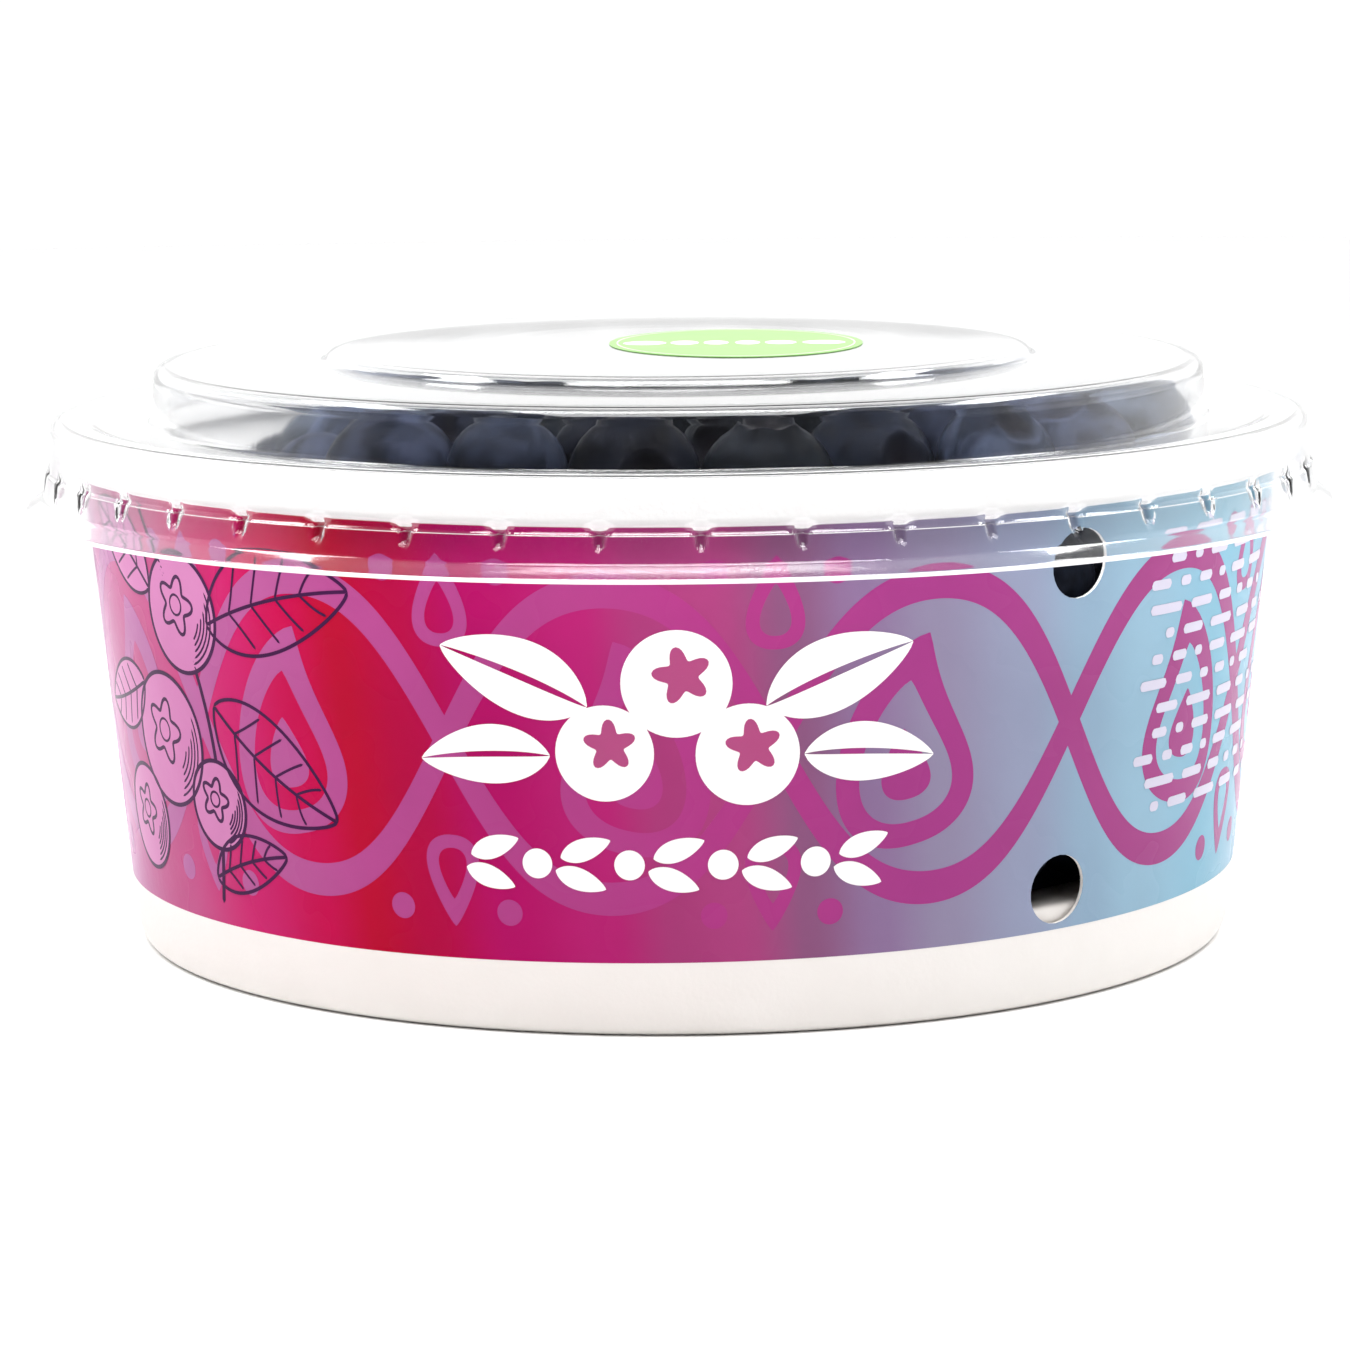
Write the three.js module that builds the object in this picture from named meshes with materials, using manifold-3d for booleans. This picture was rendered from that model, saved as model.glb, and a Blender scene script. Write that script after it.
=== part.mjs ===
// A round paperboard bowl of dark berries under a clear press-on lid, in millimetres, +Z up.
// The origin is the centre of the bowl's foot, on the surface that it stands on.
// The front of the pack faces -Y, and an azimuth is counted from there towards +X.
import * as THREE from "three";
import { mergeVertices } from "three/addons/utils/BufferGeometryUtils.js";
import Module from "manifold-3d";

const wasm = await Module();
wasm.setup();

const DEGREE = Math.PI / 180;
const SEGMENTS = 60;

// The bowl: a cone of board with a rolled rim and a foot that is turned in.
const CONE_RADIUS_AT_FLOOR = 66.83;
const CONE_GROWTH = 0.0953;
const WALL_THICK = 1.2;
const FOOT_ROUND = 1.6;
const FOOT_CHAMFER = 0.6;
const FOOT_INNER_RADIUS = 62.8;
const FOOT_TOP = 10.4;
const RIM_RADIUS = 75;
const RIM_WIDTH = 4;
const RIM_BOTTOM = 57.8;
const RIM_TOP = 62.6;
const RIM_TOP_ROUND = 2;
const RIM_FOOT_ROUND = 1;

// The base: a disc that sits on the turned-in foot, above the surface that the bowl stands on.
const BASE_THICK = 1;
const FIT_GAP = 0.2;

// The printed sleeve of the wall, let into the board so that it lies flush.
const PRINT_BOTTOM = 8.7;
const PRINT_THICK = 0.3;

// The vent holes: two on one side of the wall and two across from them.
const VENT_RADIUS = 4;
const VENT_AZIMUTHS = [38.3, 218.3];
const VENT_HEIGHTS = [13.7, 51.1];
const VENT_SIDES = 16;

// The lid: two raised tiers, a flat over the rim, and a skirt that ends in a flared brim.
const LID_THICK = 0.6;
const LID_TOP = 71.6;
const UPPER_TIER_RADIUS = 42.9;
const UPPER_TIER_EDGE = 70.9;
const LOWER_TIER_RADIUS = 63.7;
const LOWER_TIER_INNER = 69.75;
const LOWER_TIER_EDGE = 69.65;
const DOME_FOOT_RADIUS = 64.2;
const DOME_FOOT = 62.6;
const LID_SHOULDER = 63.5;
const SKIRT_TOP_RADIUS = 76.1;
const SKIRT_FOOT_RADIUS = 77.4;
const SKIRT_FOOT = 54.2;
const BRIM_RADIUS = 79.6;
const BRIM_BOTTOM = 52.4;

// The lugs: small dents of the skirt that catch under the rim.
const LUG_COUNT = 44;
const LUG_FIRST = 1.7;
const LUG_WIDTH = 2.8;
const LUG_DEPTH = 1.7;
const LUG_BOTTOM = 55.2;
const LUG_TOP = 57.4;

// The oval sticker on the lid.
const STICKER_X = 7;
const STICKER_Y = -5;
const STICKER_HALF_WIDTH = 15.3;
const STICKER_HALF_DEPTH = 19;
const STICKER_THICK = 0.25;

// The heap: a core with the berries that show fused on.
const BERRY_RADIUS = 7.5;
const BERRY_SPREAD = 0.7;
const BERRY_COUNT = 250;
const PUSH_ROUNDS = 240;
const PUSH_SHARE = 0.3;
const HEAP_TOP = 68.2;
const HEAP_EDGE = -33;
const HEAP_FALL = 0.55;
const HEAP_SEED = 20513;
const CORE_RADIUS = 57;
const CORE_CROWN = 2;
const LAYER_SHOWN = 3.4;
const VENT_VIEW = 8;
const GRAIN_SWELL = 1.06;

const WHITE_BOARD = 0xf2efea;
const PRINT_MAGENTA = 0xb02468;
const CLEAR_PLASTIC = 0xe9eef2;
const PALE_GREEN = 0xd4f0b4;
const BERRY_BLUE = 0x1d2236;

const coneRadius = (height) => CONE_RADIUS_AT_FLOOR + CONE_GROWTH * height;
const baseTop = FOOT_TOP + FIT_GAP + BASE_THICK;
const recess = PRINT_THICK + FIT_GAP;

// A closed solid of revolution about Z from an outline of (radius, height) points.
function revolve(outline) {
  return new THREE.LatheGeometry(outline, SEGMENTS).rotateX(Math.PI / 2);
}

// A closed geometry as a solid for cutting and joining.
function toSolid(geometry) {
  const plain = geometry.index ? geometry.toNonIndexed() : geometry.clone();
  plain.deleteAttribute("normal");
  plain.deleteAttribute("uv");
  const merged = mergeVertices(plain, 1e-4);
  const corners = merged.index.array;
  const faces = [];
  for (let i = 0; i < corners.length; i += 3) {
    const [a, b, c] = [corners[i], corners[i + 1], corners[i + 2]];
    if (a !== b && b !== c && c !== a) {
      faces.push(a, b, c);
    }
  }
  const vertProperties = Float32Array.from(merged.attributes.position.array);
  const triVerts = Uint32Array.from(faces);
  return new wasm.Manifold(new wasm.Mesh({ numProp: 3, vertProperties, triVerts }));
}

// A cut or joined solid as a geometry.
function toGeometry(solid) {
  const mesh = solid.getMesh();
  const geometry = new THREE.BufferGeometry();
  geometry.setAttribute("position", new THREE.BufferAttribute(mesh.vertProperties, 3));
  geometry.setIndex(new THREE.BufferAttribute(mesh.triVerts, 1));
  geometry.computeVertexNormals();
  return geometry;
}

function named(name, geometry, color, roughness, extra = {}) {
  const material = new THREE.MeshStandardMaterial({ color, roughness, metalness: 0, ...extra });
  const mesh = new THREE.Mesh(geometry, material);
  mesh.name = name;
  return mesh;
}

// The wall's section: the foot, the recess for the print, the rolled rim and the inner face.
function bowlOutline() {
  const inside = (height) => coneRadius(height) - WALL_THICK;
  const footOuter = coneRadius(0);
  const rimInner = RIM_RADIUS - RIM_WIDTH;
  const path = new THREE.Path();
  path.moveTo(FOOT_INNER_RADIUS, FOOT_CHAMFER);
  path.lineTo(FOOT_INNER_RADIUS + FOOT_CHAMFER, 0);
  path.lineTo(footOuter - FOOT_ROUND, 0);
  path.quadraticCurveTo(footOuter, 0, coneRadius(FOOT_ROUND), FOOT_ROUND);
  path.lineTo(coneRadius(PRINT_BOTTOM), PRINT_BOTTOM);
  path.lineTo(coneRadius(PRINT_BOTTOM) - recess, PRINT_BOTTOM);
  path.lineTo(coneRadius(RIM_BOTTOM) - recess, RIM_BOTTOM);
  path.lineTo(RIM_RADIUS - RIM_FOOT_ROUND, RIM_BOTTOM);
  path.quadraticCurveTo(RIM_RADIUS, RIM_BOTTOM, RIM_RADIUS, RIM_BOTTOM + RIM_FOOT_ROUND);
  path.lineTo(RIM_RADIUS, RIM_TOP - RIM_TOP_ROUND);
  path.quadraticCurveTo(RIM_RADIUS, RIM_TOP, RIM_RADIUS - RIM_TOP_ROUND, RIM_TOP);
  path.quadraticCurveTo(rimInner, RIM_TOP, rimInner, RIM_TOP - RIM_TOP_ROUND);
  path.lineTo(inside(RIM_BOTTOM), RIM_BOTTOM);
  path.lineTo(inside(FOOT_TOP), FOOT_TOP);
  path.lineTo(FOOT_INNER_RADIUS, FOOT_TOP);
  path.lineTo(FOOT_INNER_RADIUS, FOOT_CHAMFER);
  return path.getPoints(3);
}

function printOutline() {
  const bottom = PRINT_BOTTOM + FIT_GAP;
  const top = RIM_BOTTOM - FIT_GAP;
  return [
    new THREE.Vector2(coneRadius(bottom) - PRINT_THICK, bottom),
    new THREE.Vector2(coneRadius(bottom), bottom),
    new THREE.Vector2(coneRadius(top), top),
    new THREE.Vector2(coneRadius(top) - PRINT_THICK, top),
    new THREE.Vector2(coneRadius(bottom) - PRINT_THICK, bottom),
  ];
}

function baseGeometry() {
  const radius = coneRadius(FOOT_TOP) - WALL_THICK - FIT_GAP;
  const disc = new THREE.CylinderGeometry(radius, radius, BASE_THICK, SEGMENTS);
  return disc.rotateX(Math.PI / 2).translate(0, 0, baseTop - BASE_THICK / 2);
}

// The outer face of the lid from its middle to the tip of the brim.
function lidFace() {
  const path = new THREE.Path();
  path.moveTo(0, LID_TOP);
  path.quadraticCurveTo(UPPER_TIER_RADIUS * 0.6, LID_TOP, UPPER_TIER_RADIUS - 0.5, UPPER_TIER_EDGE);
  path.lineTo(UPPER_TIER_RADIUS + 0.3, LOWER_TIER_INNER);
  path.lineTo(LOWER_TIER_RADIUS - 2.6, LOWER_TIER_EDGE);
  path.quadraticCurveTo(LOWER_TIER_RADIUS - 0.4, LOWER_TIER_EDGE, LOWER_TIER_RADIUS, LOWER_TIER_EDGE - 2);
  path.lineTo(DOME_FOOT_RADIUS, DOME_FOOT);
  path.lineTo(SKIRT_TOP_RADIUS - 2, LID_SHOULDER);
  path.quadraticCurveTo(SKIRT_TOP_RADIUS, LID_SHOULDER, SKIRT_TOP_RADIUS, LID_SHOULDER - 2);
  path.quadraticCurveTo(SKIRT_TOP_RADIUS + 0.2, LUG_TOP, SKIRT_FOOT_RADIUS, SKIRT_FOOT);
  path.quadraticCurveTo(SKIRT_FOOT_RADIUS + 0.4, BRIM_BOTTOM + 1, BRIM_RADIUS, BRIM_BOTTOM);
  return path.getPoints(2);
}

// The closed section of a sheet that lies under a face, given from the axis outwards.
function sheetOutline(face, thickness) {
  const underside = face.map((point, i) => {
    const before = face[Math.max(i - 1, 0)];
    const after = face[Math.min(i + 1, face.length - 1)];
    const length = Math.hypot(after.x - before.x, after.y - before.y);
    const normal = new THREE.Vector2((after.y - before.y) / length, (before.x - after.x) / length);
    return i === 0
      ? new THREE.Vector2(0, point.y - thickness)
      : point.clone().addScaledVector(normal, thickness);
  });
  return [...underside, ...face.slice().reverse()];
}

// One lug: a half-round bar on the inner side of the skirt, leaning as the skirt does.
function lugSolid(index) {
  const half = LUG_WIDTH / 2;
  const section = new THREE.Shape();
  section.moveTo(-half, 0);
  section.quadraticCurveTo(-half, LUG_DEPTH, 0, LUG_DEPTH);
  section.quadraticCurveTo(half, LUG_DEPTH, half, 0);
  section.lineTo(-half, 0);
  const bar = new THREE.ExtrudeGeometry(section, {
    depth: LUG_TOP - LUG_BOTTOM, bevelEnabled: false, curveSegments: 2,
  });
  const lean = Math.atan2(SKIRT_FOOT_RADIUS - SKIRT_TOP_RADIUS - 0.6, LUG_TOP - LUG_BOTTOM);
  const azimuth = (LUG_FIRST + (360 / LUG_COUNT) * index) * DEGREE;
  bar.rotateX(-lean).translate(0, -(SKIRT_FOOT_RADIUS - LID_THICK), LUG_BOTTOM).rotateZ(azimuth);
  return toSolid(bar);
}

function lidGeometry() {
  const shell = toSolid(revolve(sheetOutline(lidFace(), LID_THICK)));
  const lugs = Array.from({ length: LUG_COUNT }, (_, index) => lugSolid(index));
  return toGeometry(wasm.Manifold.union([shell, ...lugs]));
}

function ventCutters() {
  return VENT_AZIMUTHS.flatMap((azimuth) => VENT_HEIGHTS.map((height) => {
    const pin = new THREE.CylinderGeometry(VENT_RADIUS, VENT_RADIUS, 4 * WALL_THICK, VENT_SIDES);
    pin.translate(0, -coneRadius(height), 0).rotateZ(azimuth * DEGREE).translate(0, 0, height);
    return toSolid(pin);
  }));
}

function withVents(geometry) {
  return toGeometry(ventCutters().reduce((solid, pin) => solid.subtract(pin), toSolid(geometry)));
}

function stickerGeometry() {
  const oval = new THREE.Shape();
  oval.absellipse(STICKER_X, STICKER_Y, STICKER_HALF_WIDTH, STICKER_HALF_DEPTH, 0, 2 * Math.PI, false);
  const sheet = new THREE.ExtrudeGeometry(oval, {
    depth: STICKER_THICK, bevelEnabled: false, curveSegments: 20,
  });
  return sheet.translate(0, 0, LID_TOP + FIT_GAP);
}

// Repeatable draws between 0 and 1.
function drawsFrom(seed) {
  let state = seed;
  return () => {
    state = (state * 16807) % 2147483647;
    return state / 2147483647;
  };
}

const heapLimit = (x) => HEAP_TOP - HEAP_FALL * Math.max(0, HEAP_EDGE - x);

// A ball moved back inside the base, the wall, the dome and the heap's upper limit.
function keepInside(ball) {
  const radius = ball.radius * GRAIN_SWELL;
  ball.z = Math.max(baseTop + FIT_GAP + radius, Math.min(ball.z, heapLimit(ball.x) - radius));
  const reach = Math.sqrt(ball.x * ball.x + ball.y * ball.y);
  const domeLevel = DOME_FOOT - LID_THICK - FIT_GAP;
  const under = Math.max(0, domeLevel - ball.z);
  const above = Math.sqrt(Math.max(0, radius * radius - under * under));
  const sideways = reach + above - (LOWER_TIER_RADIUS - LID_THICK - FIT_GAP);
  const upwards = ball.z + radius - domeLevel;
  let room = coneRadius(ball.z - radius / 2) - WALL_THICK - FIT_GAP - radius;
  if (sideways > 0 && upwards > 0 && upwards <= sideways) {
    ball.z -= upwards;
  } else if (sideways > 0 && upwards > 0) {
    room = Math.min(room, reach - sideways);
  }
  const scale = Math.min(1, room / Math.max(reach, room));
  ball.x *= scale;
  ball.y *= scale;
}

// Berries drawn all over the bowl, then pushed apart until they hardly touch.
function packBerries() {
  const draw = drawsFrom(HEAP_SEED);
  const berries = Array.from({ length: BERRY_COUNT }, () => ({
    x: (2 * draw() - 1) * CORE_RADIUS,
    y: (2 * draw() - 1) * CORE_RADIUS,
    z: baseTop + draw() * (HEAP_TOP - baseTop),
    radius: BERRY_RADIUS + BERRY_SPREAD * (2 * draw() - 1),
    turn: Math.PI * draw(),
  }));
  for (let round = 0; round < PUSH_ROUNDS; round += 1) {
    const push = berries.map(() => [0, 0, 0]);
    for (let i = 0; i < berries.length; i += 1) {
      for (let j = i + 1; j < berries.length; j += 1) {
        const [a, b] = [berries[i], berries[j]];
        const gap = [b.x - a.x, b.y - a.y, b.z - a.z];
        const distance = Math.sqrt(gap[0] * gap[0] + gap[1] * gap[1] + gap[2] * gap[2]);
        const overlap = a.radius + b.radius - distance;
        if (overlap > 0) {
          const share = (PUSH_SHARE * overlap) / distance;
          for (let k = 0; k < 3; k += 1) {
            push[i][k] -= share * gap[k];
            push[j][k] += share * gap[k];
          }
        }
      }
    }
    berries.forEach((ball, i) => {
      ball.x += push[i][0];
      ball.y += push[i][1];
      ball.z += push[i][2];
      keepInside(ball);
    });
  }
  return berries;
}

// The inside of the heap: a plug with a slightly crowned top that falls away on one side.
function heapCore() {
  const low = baseTop + FIT_GAP;
  const top = HEAP_TOP - BERRY_RADIUS;
  const plug = toSolid(revolve([
    new THREE.Vector2(0, low),
    new THREE.Vector2(CORE_RADIUS, low),
    new THREE.Vector2(CORE_RADIUS, top - CORE_CROWN),
    new THREE.Vector2(0, top),
  ]));
  const size = 2 * CORE_RADIUS;
  const slope = new THREE.BoxGeometry(size, size, size).translate(-size / 2, 0, size / 2);
  slope.rotateY(-Math.atan(HEAP_FALL)).translate(HEAP_EDGE, 0, top - CORE_CROWN);
  return plug.subtract(toSolid(slope));
}

// Whether a berry can be seen: at the top of the heap, or behind a vent hole.
function isShown(ball) {
  const behindVent = VENT_AZIMUTHS.some((azimuth) => VENT_HEIGHTS.some((height) => {
    const x = coneRadius(height) * Math.sin(azimuth * DEGREE);
    const y = -coneRadius(height) * Math.cos(azimuth * DEGREE);
    return Math.hypot(ball.x - x, ball.y - y, ball.z - height) < VENT_VIEW;
  }));
  return behindVent || ball.z + ball.radius > heapLimit(ball.x) - LAYER_SHOWN;
}

function heapGeometry() {
  const grains = packBerries().filter(isShown).map((ball) => {
    const grain = new THREE.DodecahedronGeometry(ball.radius * GRAIN_SWELL);
    grain.rotateX(ball.turn).rotateY(2 * ball.turn).translate(ball.x, ball.y, ball.z);
    return toSolid(grain);
  });
  return toGeometry(wasm.Manifold.union([heapCore(), ...grains]));
}

const pack = new THREE.Group();
pack.add(
  named("bowl", withVents(revolve(bowlOutline())), WHITE_BOARD, 0.6),
  named("bowl_base", baseGeometry(), WHITE_BOARD, 0.6),
  named("printed_band", withVents(revolve(printOutline())), PRINT_MAGENTA, 0.35),
  named("lid", lidGeometry(), CLEAR_PLASTIC, 0.1, { transparent: true, opacity: 0.35 }),
  named("sticker", stickerGeometry(), PALE_GREEN, 0.5),
  named("blueberries", heapGeometry(), BERRY_BLUE, 0.6),
);

export default pack;
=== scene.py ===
"""A printed board bowl of blue berries under a clear press-on lid.

The bowl stands on the floor at the origin and its front faces -Y. Profiles and print
places are written in millimetres and become metres when a mesh is made. An azimuth is
counted from the front towards +X.
"""
import bpy
import numpy as np
from mathutils import Matrix, Vector


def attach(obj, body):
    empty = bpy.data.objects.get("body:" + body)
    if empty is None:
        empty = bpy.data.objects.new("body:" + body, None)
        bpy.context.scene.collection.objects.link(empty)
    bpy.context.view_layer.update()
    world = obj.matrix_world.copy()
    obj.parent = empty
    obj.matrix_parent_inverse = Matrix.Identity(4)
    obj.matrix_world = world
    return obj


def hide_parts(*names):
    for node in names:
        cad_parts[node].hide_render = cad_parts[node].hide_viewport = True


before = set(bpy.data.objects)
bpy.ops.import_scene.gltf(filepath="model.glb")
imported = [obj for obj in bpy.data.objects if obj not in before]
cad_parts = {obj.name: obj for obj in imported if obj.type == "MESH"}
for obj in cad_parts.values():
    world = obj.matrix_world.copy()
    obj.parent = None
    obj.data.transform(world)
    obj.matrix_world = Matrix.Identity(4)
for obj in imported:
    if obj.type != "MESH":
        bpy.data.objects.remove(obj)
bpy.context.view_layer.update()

MM = 0.001
TURN = 2 * np.pi

# The bowl's wall, a cone of thin board.
CONE_RADIUS_AT_FLOOR = 66.83
CONE_GROWTH = 0.0953
BOARD = 0.42
RIM_RADIUS = 75.0
RIM_WIDTH = 4.0
RIM_BOTTOM = 57.8
RIM_TOP = 63.1
BASE_TOP = 11.6
HEM_TOP = 10.0

# The print on the wall, and how far out of the board each ink's face lies.
PRINT_BOTTOM = 8.65
PRINT_TILT = 0.00825
PRINT_TOP = 57.9
PRINT_LIFT = 0.03
MOTIF_LIFT = 0.042
LINE_LIFT = 0.062
WHITE_LIFT = 0.08
INK_LAYER = 0.004
INK_DEPTH = 0.012
INK_STEP = 0.8
LEAF_PEN = 0.42
MIDDLE_RADIUS = 69.6
WALL_LENGTH = TURN * MIDDLE_RADIUS

# The vent holes.
VENT_RADIUS = 4.0
VENT_AZIMUTHS = (38.3, 218.3)
VENT_HEIGHTS = (13.7, 51.1)
VENT_FRAME = 4.4
VENT_CELLS = 8
WALL_COLUMNS = 360

# The lid and its lugs.
LID_SHEET = 0.35
LUG_COUNT = 44
LUG_FIRST = 1.7
LUG_BOTTOM = 55.4
GROOVE_HALF = 0.85
SKIRT_START = 75.9
SKIRT_RADIUS = 77.0
SKIRT_PLAIN = (59.2, 61.2)
LIP_MIDDLE = (79.36, 52.5)
LIP_HALF = (0.19, 0.24)

# The sticker on the lid.
STICKER_MIDDLE = (7.0, -5.0)
STICKER_HALF = (15.3, 19.0)

# The heap of berries.
BERRY_RADIUS = 7.5
BERRY_SPREAD = 0.7
BERRY_COUNT = 250
PUSH_ROUNDS = 240
PUSH_SHARE = 0.3
HEAP_TOP = 68.2
HEAP_EDGE = -33.0
HEAP_FALL = 0.55
HEAP_SPREAD = 57.0
HEAP_SEED = 20513
SPIN_SEED = 7411
DOME_LEVEL = 61.8
DOME_RADIUS = 62.9
WALL_GAP = 0.8

# The camera, fitted to the photograph's outlines.
CAMERA_PLACE = (0.0, -0.59294, 0.12210)
CAMERA_PITCH = 0.15371
CAMERA_YAW = -0.00124
CAMERA_ROLL = -0.00933
CAMERA_LENS = 130.0

FLOOR_RADIUS = 1.3


# Surfaces

def cone_radius(height):
    """The wall's outer radius in millimetres: the radius at the floor plus a share of the height."""
    return CONE_RADIUS_AT_FLOOR + CONE_GROWTH * height


def turned(radius, azimuth, height):
    """Points (radius sin a, -radius cos a, height), in metres, from arrays in millimetres."""
    radius, azimuth, height = np.broadcast_arrays(radius, azimuth, height)
    return np.stack([radius * np.sin(azimuth), -radius * np.cos(azimuth), height], -1) * MM


def grid_quads(rows, columns, wrap_rows=False, wrap_columns=False):
    """Quads of a grid whose rows go up and whose columns go to the right, seen from outside."""
    i, j = np.meshgrid(
        np.arange(rows if wrap_rows else rows - 1),
        np.arange(columns if wrap_columns else columns - 1),
        indexing="ij",
    )
    up, right = (i + 1) % rows, (j + 1) % columns
    corners = [i * columns + j, i * columns + right, up * columns + right, up * columns + j]
    return np.stack(corners, -1).reshape(-1, 4)


def gather(parts):
    """Several (points, faces) pairs as one, with each part's faces counted on."""
    starts = np.cumsum([0] + [len(points) for points, _ in parts[:-1]])
    points = np.concatenate([points for points, _ in parts])
    faces = np.concatenate([faces + start for (_, faces), start in zip(parts, starts)])
    return points, faces


def make_piece(name, points, faces, material, slot, nodes=(), crease=None, marks=None):
    """A mesh object at the origin that rides on the pack, from points in metres."""
    mesh = bpy.data.meshes.new(name)
    mesh.from_pydata(points.tolist(), [], [face.tolist() for face in faces])
    mesh.polygons.foreach_set("use_smooth", np.ones(len(mesh.polygons), bool))
    if crease is not None:
        mesh.set_sharp_from_angle(angle=crease)
    for mark, values in (marks or {}).items():
        mesh.attributes.new(mark, "FLOAT", "POINT").data.foreach_set("value", values)
    mesh.materials.append(material)
    mesh.update()
    piece = bpy.data.objects.new(name, mesh)
    bpy.context.scene.collection.objects.link(piece)
    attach(piece, "root")
    if nodes:
        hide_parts(*nodes)


def rounded(corners, steps):
    """An outline through corners (radius, height, rounding), each rounding a parabola.

    The curve at a corner c runs from c + r before to c + r after, where r is the rounding and
    before and after are the unit directions to its neighbours.
    """
    corners = np.array(corners, float)
    places, size = corners[:, :2], corners[1:-1, 2:]
    before = places[:-2] - places[1:-1]
    after = places[2:] - places[1:-1]
    start = places[1:-1] + size * before / np.linalg.norm(before, axis=1, keepdims=True)
    end = places[1:-1] + size * after / np.linalg.norm(after, axis=1, keepdims=True)
    t = np.linspace(0, 1, steps)[None, :, None]
    bends = (1 - t) ** 2 * start[:, None] + 2 * t * (1 - t) * places[1:-1, None] + t**2 * end[:, None]
    return np.concatenate([places[:1], bends.reshape(-1, 2), places[-1:]])


def supported(outline, beside):
    """The same outline with a point a little way in from both ends of each long stretch.

    The points keep the smooth shading of a bend from running out over the flats beside it.
    """
    kept = [outline[:1]]
    for start, end in zip(outline[:-1], outline[1:]):
        length = np.linalg.norm(end - start)
        if length > 4 * beside:
            kept.append(start + (end - start) * np.array([[beside], [length - beside]]) / length)
        kept.append(end[None])
    return np.concatenate(kept)


def refined(outline, longest):
    """The same outline with every stretch over the longest step cut into even parts."""
    lengths = np.linalg.norm(np.diff(outline, axis=0), axis=1)
    along = np.concatenate([[0], np.cumsum(lengths)])
    extra = [
        np.linspace(a, b, int(np.ceil((b - a) / longest)) + 1)[1:]
        for a, b in zip(along[:-1], along[1:]) if b > a
    ]
    places = np.concatenate([[0], *extra])
    return np.stack([np.interp(places, along, outline[:, k]) for k in (0, 1)], -1)


def sheet_section(face, thickness):
    """A closed section: a face given from the axis outwards, and the same face moved inwards."""
    slope = np.gradient(face, axis=0)
    slope /= np.linalg.norm(slope, axis=1, keepdims=True)
    under = face + thickness * np.stack([slope[:, 1], -slope[:, 0]], -1)
    under[0] = (0, face[0, 1] - thickness)
    return under, face[::-1]


def revolved(section, azimuths):
    """A closed ring: a section of (radius, height) points that meets itself, carried round Z."""
    points = turned(section[:, :1], azimuths[None], section[:, 1:])
    quads = grid_quads(len(section), len(azimuths), wrap_rows=True, wrap_columns=True)
    return points.reshape(-1, 3), quads


# The bowl

def vent_rings(azimuth, height, lift, columns_at, rows_at):
    """Rings between a square of the wall's grid and a vent's circle, as (azimuth, height).

    A ring point is (1 - f) times the square's point plus f times the circle's point that lies
    in the same direction from the vent's middle, and f is 1/2 and then 1.
    """
    radius = cone_radius(height) + lift
    right = (columns_at - azimuth) * radius
    up = rows_at - height
    reach = np.hypot(right, up)
    share = np.array([0.5, 1.0])[:, None]
    scale = (1 - share) + share * VENT_RADIUS / reach
    return azimuth + right * scale / radius, height + up * scale


def square_loop(low_row, low_column, cells, columns):
    """Grid indices round a square of cells, counter-clockwise seen from outside."""
    k = np.arange(cells)
    rows = np.concatenate([0 * k, k, 0 * k + cells, cells - k]) + low_row
    cols = np.concatenate([k, 0 * k + cells, cells - k, 0 * k]) + low_column
    return rows, cols % columns


def wall_rows():
    """Heights of the wall's rows, with even rows across each vent's square."""
    low, high = VENT_HEIGHTS
    return np.unique(np.round(np.concatenate([
        np.linspace(PRINT_BOTTOM, low - VENT_FRAME, 2),
        np.linspace(low - VENT_FRAME, low + VENT_FRAME, VENT_CELLS + 1),
        np.linspace(low + VENT_FRAME, high - VENT_FRAME, 20),
        np.linspace(high - VENT_FRAME, high + VENT_FRAME, VENT_CELLS + 1),
        np.linspace(high + VENT_FRAME, PRINT_TOP - 0.4, 3),
    ]), 5))


def wall_azimuths():
    """Azimuths of the wall's columns, one of which runs through the middle of each vent."""
    return np.radians(VENT_AZIMUTHS[0]) + TURN * np.arange(WALL_COLUMNS) / WALL_COLUMNS


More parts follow.
